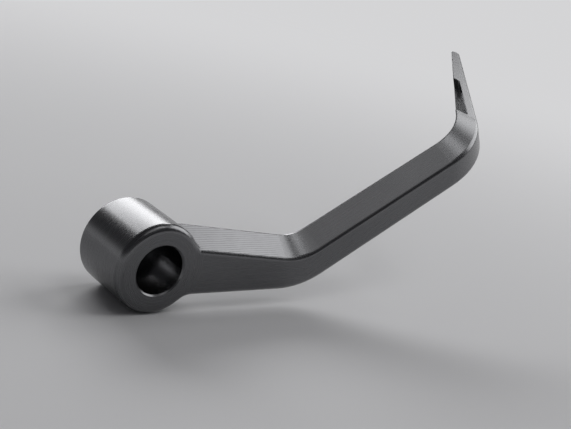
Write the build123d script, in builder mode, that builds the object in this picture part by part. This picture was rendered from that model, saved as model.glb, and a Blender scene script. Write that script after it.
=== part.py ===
from build123d import *
import os
from math import cos, radians, sin, tan

# Brake lever guard: a one-piece machined arm that bolts to the end of a handlebar.
#
# A round hub seats on the bar's end. From its outer face an arm runs forward, turns up
# at a first bend, and at a second bend turns inward as a blade that tapers to its tip.
# The arm's upper outer side is one broad bevel, with a milled pocket in the blade.
#
# Frame: the origin is the centre of the screw hole on the hub's seat, which faces the bar.
# +Y runs along the bar, inward. +X is forward, and +Z is up. All sizes are in millimetres.

# Hub
hub_diameter = 30.0
hub_length = 25.0
recess_diameter = 16.4
recess_depth = 17.5
screw_hole_diameter = 8.4
seat_edge_radius = 0.6
mouth_chamfer = 0.5

# Arm section
arm_thickness = 8.0
bevel_height = 5.9
bevel_land = 0.5
front_edge_radius = 2.4
back_edge_radius = 0.8

# Arm outline, seen along the bar
root_top = 13.5
root_fall_angle = 6.0
root_bottom = -9.45
rise_angle = 31.4
rise_corner_x = 56.6
rise_height = 16.6
top_bend_radius = 18.0
bottom_bend_radius = 36.0
top_blend_radius = 12.0
bottom_blend_radius = 7.0

# Bend to the blade
rise_length = 69.8
blade_turn = 52.0
blade_bend_radius = 35.5

# Blade
blade_length = 49.8
tip_thickness = 3.3
tip_height = 12.0
tip_top_radius = 1.5
tip_bottom_radius = 4.0

# Pocket in the blade's bevel
pocket_start = 0.6
pocket_length = 25.0
pocket_start_width = 4.3
pocket_end_width = 2.0
pocket_floor_drop = 4.2
pocket_corner_radius = 1.0

hub_radius = hub_diameter / 2
arm_start = hub_radius / 2
root_fall = tan(radians(root_fall_angle))

# Directions of the risen arm: along it, and square to it in the outer face
along = Vector(cos(radians(rise_angle)), 0, sin(radians(rise_angle)))
across = Vector(-along.Z, 0, along.X)

# Corners of the arm's outline at its back, where the bevel is at its highest
top_corner = Vector(rise_corner_x, -hub_length, root_top - rise_corner_x * root_fall)
lower_side = top_corner - across * rise_height
lower_corner = lower_side + along * ((root_bottom - lower_side.Z) / along.Z)
top_end = top_corner + along * rise_length
lower_end = top_end - across * rise_height

# The outer face lies in this plane, whose own directions are X and Z
outer_plane = Plane.XZ.offset(hub_length)


def in_outline(point):
    """A point's two coordinates in the plane of the outer face."""
    return (point.X, point.Z)


def root_line(x, drop=0.0):
    """The height of the arm's top between the hub and the first bend."""
    return root_top - drop - x * root_fall


def section(thickness, height):
    """Corners of the arm's section: outward from the outer face, and down from its top."""
    rise = bevel_height * thickness / arm_thickness
    land = bevel_land * thickness / arm_thickness
    return [(0, -height), (0, -rise), (thickness - land, 0), (thickness, 0), (thickness, -height)]


def root_edge(face):
    """The straight edge of the arm's top between the hub and the first bend."""
    level = face.edges().filter_by(lambda edge: abs(edge.tangent_at(0.5).Z) < 0.2)
    return level.filter_by(lambda edge: edge.center().Z > 0).sort_by(Axis.X)[0]


def smooth_chain(seed, edges):
    """The seed edge and every edge that runs on from it without a corner."""
    chain = [seed]
    for link in chain:
        for end in (0, 1):
            for edge in edges:
                if any(edge.is_same(known) for known in chain):
                    continue
                for other_end in (0, 1):
                    gap = (edge.position_at(other_end) - link.position_at(end)).length
                    angle = edge.tangent_at(other_end).get_angle(link.tangent_at(end))
                    if gap < 1e-4 and min(angle, 180 - angle) < 8:
                        chain.append(edge)
                        break
    return chain


# The arm from the hub to the start of the second bend
with BuildPart() as straight_arm:
    with BuildSketch(outer_plane):
        with BuildLine():
            FilletPolyline(
                (arm_start, root_bottom),
                in_outline(lower_corner),
                in_outline(lower_end),
                radius=bottom_bend_radius,
            )
            Line(in_outline(lower_end), in_outline(top_end))
            FilletPolyline(
                in_outline(top_end),
                in_outline(top_corner),
                (arm_start, root_line(arm_start)),
                radius=top_bend_radius,
            )
            Line((arm_start, root_line(arm_start)), (arm_start, root_bottom))
        make_face()
    extrude(amount=-arm_thickness)
    outer_face = straight_arm.faces().sort_by(Axis.Y)[0]
    top_edges = smooth_chain(root_edge(outer_face), outer_face.edges())
    chamfer(top_edges, length=bevel_height, length2=arm_thickness - bevel_land, reference=outer_face)

# The second bend turns the section about an axis square to the risen arm
bend_start = Plane(origin=top_end, x_dir=(0, 1, 0), z_dir=along)
bend_axis = Axis(top_end + Vector(0, blade_bend_radius, 0), across)
with BuildPart() as blade_bend:
    with BuildSketch(bend_start):
        with BuildLine():
            Polyline(*section(arm_thickness, rise_height), close=True)
        make_face()
    revolve(axis=bend_axis, revolution_arc=blade_turn)

# The blade narrows from the bend's end to its tip
turn = radians(blade_turn)
blade_along = along * cos(turn) + Vector(0, sin(turn), 0)
blade_inward = along * -sin(turn) + Vector(0, cos(turn), 0)
bend_run = along * (blade_bend_radius * sin(turn))
bend_offset = Vector(0, blade_bend_radius * (1 - cos(turn)), 0)
blade_root = top_end + bend_run + bend_offset
blade_tip = blade_root + blade_along * blade_length
tip_plane = Plane(origin=blade_tip, x_dir=blade_inward, z_dir=blade_along)
with BuildPart() as blade:
    with BuildSketch(Plane(origin=blade_root, x_dir=blade_inward, z_dir=blade_along)):
        with BuildLine():
            Polyline(*section(arm_thickness, rise_height), close=True)
        make_face()
    with BuildSketch(tip_plane):
        with BuildLine():
            Polyline(*section(tip_thickness, tip_height), close=True)
        make_face()
    loft(ruled=True)

# The whole arm, with its long edges rounded and the corners of its tip taken off
with BuildPart() as arm:
    add(straight_arm.part)
    add(blade_bend.part)
    add(blade.part)
    outer_face = arm.faces().sort_by(Axis.Y)[0]
    lower_edges = smooth_chain(outer_face.edges().sort_by(Axis.Z)[0], arm.edges())
    bevel_edges = smooth_chain(root_edge(outer_face), arm.edges())
    fillet(lower_edges + bevel_edges, front_edge_radius)
    back_face = arm.faces().filter_by(Axis.Y).sort_by(Axis.Y)[-1]
    back_edges = smooth_chain(back_face.edges().sort_by(Axis.Z)[0], arm.edges())
    fillet(back_edges, back_edge_radius)
    corner_run = 2 * tip_bottom_radius
    corner_low = -tip_height - corner_run * (rise_height - tip_height) / blade_length
    with BuildSketch(Plane(origin=blade_tip, x_dir=blade_along, z_dir=-blade_inward)):
        with BuildLine():
            FilletPolyline(
                (-corner_run, corner_low),
                (0, -tip_height),
                (0, -tip_height / 2),
                radius=tip_bottom_radius,
            )
            Polyline(
                (0, -tip_height / 2),
                (5, -tip_height / 2),
                (5, -tip_height - 5),
                (-corner_run, -tip_height - 5),
                (-corner_run, corner_low),
            )
        make_face()
        with BuildLine():
            FilletPolyline(
                (-2 * tip_top_radius, 0),
                (0, 0),
                (0, -2 * tip_top_radius),
                radius=tip_top_radius,
            )
            Polyline(
                (0, -2 * tip_top_radius),
                (5, -2 * tip_top_radius),
                (5, 5),
                (-2 * tip_top_radius, 5),
                (-2 * tip_top_radius, 0),
            )
        make_face()
    extrude(amount=arm_thickness, both=True, mode=Mode.SUBTRACT)

    # The pocket has a level floor and is open at the back edge
    floor_origin = blade_root + blade_inward * (arm_thickness - bevel_land) - across * pocket_floor_drop
    with BuildSketch(Plane(origin=floor_origin, x_dir=blade_along, z_dir=across)) as pocket:
        narrowing = (arm_thickness - tip_thickness) / blade_length
        pocket_end = pocket_start + pocket_length
        with BuildLine():
            Polyline(
                (pocket_start, arm_thickness),
                (pocket_end, arm_thickness),
                (pocket_end, -pocket_end_width - pocket_end * narrowing),
                (pocket_start, -pocket_start_width - pocket_start * narrowing),
                close=True,
            )
        make_face()
        fillet(pocket.vertices().sort_by(Axis.Y)[:2], pocket_corner_radius)
    extrude(amount=2 * pocket_floor_drop, mode=Mode.SUBTRACT)

# The hub, with concave blends to the arm's outer edge
with BuildPart() as guard:
    with BuildSketch(Plane.XZ):
        Circle(hub_radius)
    extrude(amount=hub_length)
    blend_reach = hub_radius + 1.5 * top_blend_radius
    with BuildSketch(outer_plane) as root:
        Circle(hub_radius)
        with BuildLine():
            Polyline(
                (0, root_bottom),
                (blend_reach, root_bottom),
                (blend_reach, root_line(blend_reach, bevel_height)),
                (0, root_line(0, bevel_height)),
                close=True,
            )
        make_face()
        junctions = root.vertices().filter_by(lambda corner: arm_start < corner.X < hub_radius)
        fillet(junctions.sort_by(Axis.Y)[0], bottom_blend_radius)
        junctions = root.vertices().filter_by(lambda corner: arm_start < corner.X < hub_radius)
        fillet(junctions.sort_by(Axis.Y)[-1], top_blend_radius)
    extrude(amount=-arm_thickness)
    rim = guard.faces().sort_by(Axis.Y)[0].outer_wire().edges()
    fillet(rim.filter_by(lambda edge: edge.center().X < blend_reach - 1), front_edge_radius)
    seat_edge = guard.faces().sort_by(Axis.Y)[-1].edges()
    fillet(seat_edge, seat_edge_radius)
    add(arm.part)

    # The screw's recess in the outer face, and its hole through to the seat
    with Locations(outer_plane):
        CounterBoreHole(screw_hole_diameter / 2, recess_diameter / 2, recess_depth, depth=hub_length)
    outer_face = guard.faces().sort_by(Axis.Y)[0]
    chamfer(outer_face.inner_wires()[0].edges(), mouth_chamfer)

guard.part.label = "lever_guard"
os.makedirs("parts", exist_ok=True)
export_step(guard.part, "parts/lever_guard.step")
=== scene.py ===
import math

import bpy
from mathutils import Matrix, Vector


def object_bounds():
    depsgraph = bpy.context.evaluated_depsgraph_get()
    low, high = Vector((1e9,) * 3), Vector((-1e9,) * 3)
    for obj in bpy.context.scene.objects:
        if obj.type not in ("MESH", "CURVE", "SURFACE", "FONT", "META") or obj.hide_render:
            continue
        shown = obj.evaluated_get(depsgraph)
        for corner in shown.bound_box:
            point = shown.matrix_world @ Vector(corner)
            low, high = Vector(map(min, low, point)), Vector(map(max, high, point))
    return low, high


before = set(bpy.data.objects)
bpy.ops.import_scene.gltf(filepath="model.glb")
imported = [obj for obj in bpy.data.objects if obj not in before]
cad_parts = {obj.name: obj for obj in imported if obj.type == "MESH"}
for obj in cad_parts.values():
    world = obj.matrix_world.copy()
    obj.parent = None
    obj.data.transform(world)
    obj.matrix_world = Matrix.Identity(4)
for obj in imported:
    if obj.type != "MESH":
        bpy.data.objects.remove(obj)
cad_box = [list(corner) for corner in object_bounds()]

# Sizes of the guard that the marks on its faces follow. All lengths are in metres.
MM = 0.001
HUB_RADIUS = 15 * MM
RECESS_RADIUS = 8.2 * MM
ROOT_FALL = math.tan(math.radians(6))
ROOT_BEVEL = Vector((0, 7.5, 5.9))
ROOT_BEVEL_END = 51 * MM
RISE_ANGLE = math.radians(31.4)
RISE_CORNER = Vector((56.6, -25, 7.55)) * MM
RISE_LENGTH = 69.8 * MM
BLADE_TURN = math.radians(52)
HALF_BEND_LENGTH = 14 * MM

# Directions of the risen arm and of the blade
inward = Vector((0, 1, 0))
along_rise = Vector((math.cos(RISE_ANGLE), 0, math.sin(RISE_ANGLE)))
across_rise = Vector((-along_rise.z, 0, along_rise.x))
along_blade = along_rise * math.cos(BLADE_TURN) + inward * math.sin(BLADE_TURN)
inward_blade = -along_rise * math.sin(BLADE_TURN) + inward * math.cos(BLADE_TURN)

# Colour of the metal and the marks in it
METAL_COLOUR = (0.150, 0.151, 0.156)
SCRATCH_LENGTH = 18 * MM
SCRATCH_WIDTH = 0.22 * MM
RING_PITCH = 0.3 * MM
PASS_PITCH = 0.8 * MM
PASS_RUN = Vector((1, 0.0936, -0.0376)).normalized()
CHATTER_LENGTH = 2.6 * MM
WANDER_SIZE = 5 * MM
CLOUD_SIZE = 22 * MM
MARK_DEPTH = 0.003 * MM
RIDGE_HEIGHT = 0.014 * MM

# Surroundings
BACKDROP = (0.66, 0.66, 0.67, 1)
CEILING = (0.07, 0.07, 0.075, 1)
FLOOR_SIZE = 40.0
FLOOR_GAP = 0.1 * MM
MIDDLE = Vector((0.07, -0.01, 0.02))
LAMP_DISTANCE = 2

# Camera, at the photograph's viewing angle. Its focal length is in the photograph's pixels.
CAMERA_PLACE = Vector((-169.2, -259.6, 113.1)) * MM
CAMERA_RIGHT = Vector((0.7639, -0.5988, 0.2406))
CAMERA_UP = Vector((0.0, 0.3729, 0.9279))
FOCAL_LENGTH = 1000
PHOTO_WIDTH = 571
SENSOR_WIDTH = 36


class Nodes:
    """Short calls that add nodes to one tree and join them."""

    def __init__(self, tree):
        self.tree = tree
        tree.nodes.clear()

    def new(self, kind, inputs=None, **settings):
        node = self.tree.nodes.new(kind)
        for name, value in settings.items():
            setattr(node, name, value)
        for key, value in (inputs or {}).items():
            if isinstance(value, bpy.types.NodeSocket):
                self.tree.links.new(value, node.inputs[key])
            else:
                node.inputs[key].default_value = value
        return node

    def math(self, operation, *values):
        inputs = dict(enumerate(values))
        return self.new("ShaderNodeMath", inputs, operation=operation).outputs[0]

    def dot(self, vector, direction):
        inputs = {0: vector, 1: tuple(direction)}
        return self.new("ShaderNodeVectorMath", inputs, operation="DOT_PRODUCT").outputs["Value"]

    def from_point(self, place, point):
        """The way to a place from a fixed point."""
        inputs = {0: place, 1: tuple(point)}
        return self.new("ShaderNodeVectorMath", inputs, operation="SUBTRACT").outputs[0]

    def combine(self, x, y, z):
        return self.new("ShaderNodeCombineXYZ", {0: x, 1: y, 2: z}).outputs[0]

    def fade(self, value, start, end):
        """0 before start and 1 after end, with a smooth step between."""
        inputs = {"Value": value, "From Min": start, "From Max": end}
        node = self.new("ShaderNodeMapRange", inputs, interpolation_type="SMOOTHSTEP")
        return node.outputs["Result"]

    def span(self, value, low, high):
        """A 0 to 1 value spread between low and high."""
        inputs = {"Value": value, "To Min": low, "To Max": high}
        return self.new("ShaderNodeMapRange", inputs).outputs["Result"]

    def blend(self, factor, first, second):
        inputs = {"Factor": factor, 2: first, 3: second}
        return self.new("ShaderNodeMix", inputs, data_type="FLOAT").outputs[0]

    def noise(self, vector, scale, detail=2.0, roughness=0.5):
        inputs = {"Vector": vector, "Scale": scale, "Detail": detail, "Roughness": roughness}
        return self.new("ShaderNodeTexNoise", inputs).outputs["Fac"]

    def bump(self, height, distance, **normal):
        inputs = {"Height": height, "Strength": 1.0, "Distance": distance}
        return self.new("ShaderNodeBump", {**inputs, **normal}).outputs[0]


def add_camera():
    right = CAMERA_RIGHT.normalized()
    up = (CAMERA_UP - right * CAMERA_UP.dot(right)).normalized()
    back = right.cross(up)
    lens = bpy.data.cameras.new("camera")
    lens.sensor_width = SENSOR_WIDTH
    lens.lens = SENSOR_WIDTH * FOCAL_LENGTH / PHOTO_WIDTH
    lens.clip_start, lens.clip_end = 0.01, 20
    camera = bpy.data.objects.new("camera", lens)
    turned = Matrix((right, up, back)).transposed().to_4x4()
    camera.matrix_world = Matrix.Translation(CAMERA_PLACE) @ turned
    bpy.context.collection.objects.link(camera)
    bpy.context.scene.camera = camera


def stretches(nodes, place):
    """Two values, 0 before and 1 past the first bend, and 0 before and 1 past the second."""
    first_half = Vector((math.cos(RISE_ANGLE / 2), 0, math.sin(RISE_ANGLE / 2)))
    past_first = nodes.dot(nodes.from_point(place, RISE_CORNER), first_half)
    bend_middle = RISE_CORNER + along_rise * (RISE_LENGTH + HALF_BEND_LENGTH)
    second_half = (along_rise + along_blade).normalized()
    past_second = nodes.dot(nodes.from_point(place, bend_middle), second_half)
    return nodes.fade(past_first, -4 * MM, 4 * MM), nodes.fade(past_second, -5 * MM, 5 * MM)


def brushed(nodes, place, directions):
    """Fine scratches that run along the first of three directions."""
    axes = Matrix(directions).transposed()
    inputs = {
        "Vector": place,
        "Rotation": tuple(axes.to_euler()),
        "Scale": (SCRATCH_LENGTH, SCRATCH_WIDTH, SCRATCH_WIDTH),
    }
    local = nodes.new("ShaderNodeMapping", inputs, vector_type="TEXTURE").outputs[0]
    return nodes.noise(local, 1.0, 3.0, 0.65)


def scratches_of_arm(nodes, place):
    """Brushed scratches, one direction on each stretch, and fainter ones on the blade."""
    risen, bladed = stretches(nodes, place)
    level = brushed(nodes, place, ((1, 0, 0), (0, 1, 0), (0, 0, 1)))
    rising = brushed(nodes, place, (along_rise, inward, across_rise))
    turned = nodes.span(brushed(nodes, place, (along_blade, inward_blade, across_rise)), 0.25, 0.75)
    return nodes.blend(bladed, nodes.blend(risen, level, rising), turned)


def rings_of_hub(nodes, x, y, z, radius):
    """Turning marks of the lathe: rings along the hub's side and round its ends."""
    around = nodes.math("ARCTAN2", z, x)
    ring_place = nodes.combine(
        nodes.math("MULTIPLY", around, 0.6),
        nodes.math("MULTIPLY", y, 1 / RING_PITCH),
        nodes.math("MULTIPLY", radius, 1 / RING_PITCH),
    )
    return nodes.noise(ring_place, 1.0, 3.0, 0.6)


def root_bevel(nodes, facing, x, hubbed):
    """1 on the bevel between the hub and the first bend and 0 elsewhere, and the way it faces."""
    bevel_out = Vector((1, 0, -ROOT_FALL)).cross(ROOT_BEVEL.normalized()).normalized()
    if bevel_out.z < 0:
        bevel_out = -bevel_out
    on_bevel = nodes.fade(nodes.dot(facing, bevel_out), 0.984, 0.993)
    before_bend = nodes.fade(x, ROOT_BEVEL_END, ROOT_BEVEL_END - 5 * MM)
    milled = nodes.math("MULTIPLY", on_bevel, before_bend)
    milled = nodes.math("MULTIPLY", milled, nodes.math("SUBTRACT", 1.0, hubbed))
    return milled, bevel_out


def cutter_ridges(nodes, place, bevel_out):
    """Ridges between the cutter's passes, a little askew to the bevel's edges."""
    pass_step = bevel_out.cross(PASS_RUN).normalized()
    run = nodes.dot(place, PASS_RUN)
    step = nodes.dot(place, pass_step)
    wander = nodes.noise(place, 1 / WANDER_SIZE, 1.0)
    wander = nodes.math("MULTIPLY", nodes.math("SUBTRACT", wander, 0.5), 0.5)
    passes = nodes.math("ADD", nodes.math("MULTIPLY", step, 1 / PASS_PITCH), wander)
    across_pass = nodes.math("MULTIPLY", nodes.math("FRACT", passes), 2.0)
    from_middle = nodes.math("ABSOLUTE", nodes.math("SUBTRACT", across_pass, 1.0))
    chatter_place = nodes.combine(
        nodes.math("MULTIPLY", run, 1 / CHATTER_LENGTH),
        nodes.math("MULTIPLY", nodes.math("FLOOR", passes), 3.7),
        0.0,
    )
    chatter = nodes.noise(chatter_place, 1.0, 1.0)
    ridge = nodes.math("POWER", from_middle, 2.0)
    return nodes.math("MULTIPLY", ridge, nodes.span(chatter, 0.3, 1.4))


def anodised_aluminium():
    """Dark anodised aluminium: brushed along the arm, turned on the hub, milled on the bevel."""
    material = bpy.data.materials.new("anodised_aluminium")
    material.use_nodes = True
    nodes = Nodes(material.node_tree)
    where = nodes.new("ShaderNodeTexCoord")
    place = where.outputs["Object"]
    x, y, z = nodes.new("ShaderNodeSeparateXYZ", {0: place}).outputs

    # How near a point is to the hub's axis
    radius_squared = nodes.math("ADD", nodes.math("POWER", x, 2.0), nodes.math("POWER", z, 2.0))
    radius = nodes.math("SQRT", radius_squared)
    hubbed = nodes.fade(radius, HUB_RADIUS + 1.2 * MM, HUB_RADIUS + 0.1 * MM)
    in_recess = nodes.fade(radius, RECESS_RADIUS + 0.2 * MM, RECESS_RADIUS)

    # Marks of the tools, and none inside the recess
    rings = rings_of_hub(nodes, x, y, z, radius)
    marks = nodes.blend(hubbed, scratches_of_arm(nodes, place), rings)
    marks = nodes.blend(in_recess, marks, 0.5)
    milled, bevel_out = root_bevel(nodes, where.outputs["Normal"], x, hubbed)
    ridges = cutter_ridges(nodes, place, bevel_out)

    # Colour: near black, a little uneven, darker on the cutter's ridges
    clouds = nodes.noise(place, 1 / CLOUD_SIZE, 2.0)
    shade = nodes.math("ADD", nodes.span(clouds, 0.9, 1.1), nodes.span(marks, -0.12, 0.12))
    ridge_shade = nodes.math("MULTIPLY", milled, nodes.span(ridges, 0.35, -0.25))
    shade = nodes.math("ADD", shade, ridge_shade)
    tint = nodes.new("ShaderNodeVectorMath", {0: METAL_COLOUR, "Scale": shade}, operation="SCALE")

    roughness = nodes.math("ADD", nodes.span(marks, 0.20, 0.34), nodes.math("MULTIPLY", milled, 0.06))
    fine = nodes.bump(marks, MARK_DEPTH)
    relief = nodes.bump(nodes.math("MULTIPLY", ridges, milled), RIDGE_HEIGHT, Normal=fine)
    inputs = {
        "Base Color": tint.outputs[0],
        "Metallic": 1.0,
        "Roughness": roughness,
        "Normal": relief,
    }
    shader = nodes.new("ShaderNodeBsdfPrincipled", inputs)
    nodes.new("ShaderNodeOutputMaterial", {"Surface": shader.outputs[0]})
    return material


def seen_directly(nodes):
    """1 for rays from the camera, a reflection or a clear material, and 0 for light."""
    path = nodes.new("ShaderNodeLightPath")
    seen = nodes.math("MAXIMUM", path.outputs["Is Camera Ray"], path.outputs["Is Glossy Ray"])
    return nodes.math("MAXIMUM", seen, path.outputs["Is Transmission Ray"])


def pale_floor():
    """A plain pale floor that goes over into the backdrop's colour far from the guard."""
    material = bpy.data.materials.new("pale_floor")
    material.use_nodes = True
    nodes = Nodes(material.node_tree)
    shader = nodes.new("ShaderNodeBsdfPrincipled", {"Base Color": BACKDROP, "Roughness": 0.8})
    place = nodes.new("ShaderNodeTexCoord").outputs["Object"]
    reach = nodes.new("ShaderNodeVectorMath", {0: place}, operation="LENGTH").outputs["Value"]
    far = nodes.math("MULTIPLY", nodes.fade(reach, 0.15, 0.9), seen_directly(nodes))
    backdrop = nodes.new("ShaderNodeEmission", {"Color": BACKDROP, "Strength": 1.0})
    mixed = nodes.new("ShaderNodeMixShader", {0: far, 1: shader.outputs[0], 2: backdrop.outputs[0]})
    nodes.new("ShaderNodeOutputMaterial", {"Surface": mixed.outputs[0]})
    return material


def add_floor():
    """A floor just under the guard's lowest point."""
    mesh = bpy.data.meshes.new("floor")
    half = FLOOR_SIZE / 2
    level = cad_box[0][2] - FLOOR_GAP
    corners = [(-half, -half, level), (half, -half, level), (half, half, level), (-half, half, level)]
    mesh.from_pydata(corners, [], [(0, 1, 2, 3)])
    mesh.materials.append(pale_floor())
    floor = bpy.data.objects.new("floor", mesh)
    bpy.context.collection.objects.link(floor)


def add_world():
    """The backdrop's colour up to a little above the horizon, and a dim room over it."""
    world = bpy.data.worlds.new("studio")
    bpy.context.scene.world = world
    world.use_nodes = True
    room = Nodes(world.node_tree)
    looking = room.new("ShaderNodeTexCoord").outputs["Generated"]
    height = room.new("ShaderNodeSeparateXYZ", {0: looking}).outputs[2]
    to_camera = room.new("ShaderNodeLightPath").outputs["Is Camera Ray"]
    unseen = room.math("SUBTRACT", 1.0, to_camera)
    over = room.math("MULTIPLY", room.fade(height, 0.04, 0.22), unseen)
    inputs = {"Factor": over, 6: BACKDROP, 7: CEILING}
    colour = room.new("ShaderNodeMix", inputs, data_type="RGBA").outputs[2]
    background = room.new("ShaderNodeBackground", {"Color": colour, "Strength": 1.0})
    room.new("ShaderNodeOutputWorld", {"Surface": background.outputs[0]})


def softbox(name, direction, width, height, radiance):
    """An area lamp in a direction from the guard's middle, whose face has this radiance."""
    lamp = bpy.data.lights.new(name, "AREA")
    lamp.shape = "RECTANGLE"
    lamp.size, lamp.size_y = width, height
    lamp.energy = radiance * math.pi * width * height
    holder = bpy.data.objects.new(name, lamp)
    away = Vector(direction).normalized() * LAMP_DISTANCE
    turned = away.to_track_quat("Z", "Y").to_matrix().to_4x4()
    holder.matrix_world = Matrix.Translation(MIDDLE + away) @ turned
    holder.visible_camera = False
    bpy.context.collection.objects.link(holder)


finish = anodised_aluminium()
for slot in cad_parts["lever_guard"].material_slots:
    slot.material = finish

bpy.context.scene.view_settings.view_transform = "Standard"
add_camera()
add_floor()
add_world()
softbox("hub_softbox", (0.21, 0.84, 0.50), 1.8, 0.7, 5.6)
softbox("bevel_softbox", (0.845, -0.04, 0.53), 1.55, 1.4, 2.7)
softbox("bend_softbox", (0.30, -0.20, 0.93), 0.4, 0.6, 3.0)
softbox("overhead_softbox", (0.0, -0.42, 0.91), 1.0, 1.0, 0.6)
